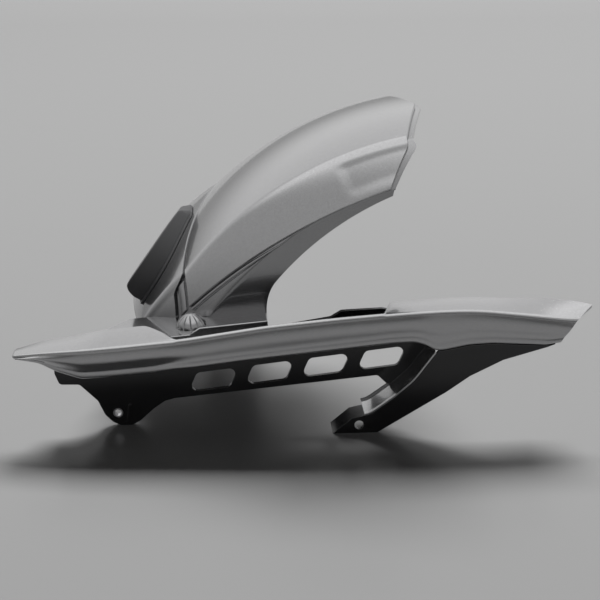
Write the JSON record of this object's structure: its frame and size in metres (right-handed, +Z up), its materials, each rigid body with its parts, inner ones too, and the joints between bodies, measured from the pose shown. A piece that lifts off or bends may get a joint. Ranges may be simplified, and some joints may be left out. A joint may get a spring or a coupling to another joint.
{
  "type": "motorcycle rear fender",
  "caption": "Rear wheel hugger fender with a raised crown cover, a long chain guard on a slotted black carrier, and fixing holes in its tabs.",
  "frame": {"origin": "centre of the front fixing hole, in the front tab of the chain guard's carrier", "axes": "+X to the rear of the motorcycle, +Y to its right-hand side, +Z up"},
  "size_m": [0.521, 0.2923, 0.2641],
  "materials": {
    "painted_panel": "gunmetal metallic lacquer over moulded plastic",
    "painted_shell": "darker gunmetal lacquer over moulded plastic",
    "dark_plastic": "satin dark grey plastic",
    "black_plastic": "gloss black plastic",
    "steel": "turned steel"
  },
  "bodies": {
    "root": {"arch_shell": "painted_shell", "crown_cover": "painted_panel", "front_block": "dark_plastic", "guard_cover": "painted_panel", "guard_carrier": "black_plastic", "front_bush": "steel", "domed_cap": "painted_shell"}
  },
  "joints": []
}
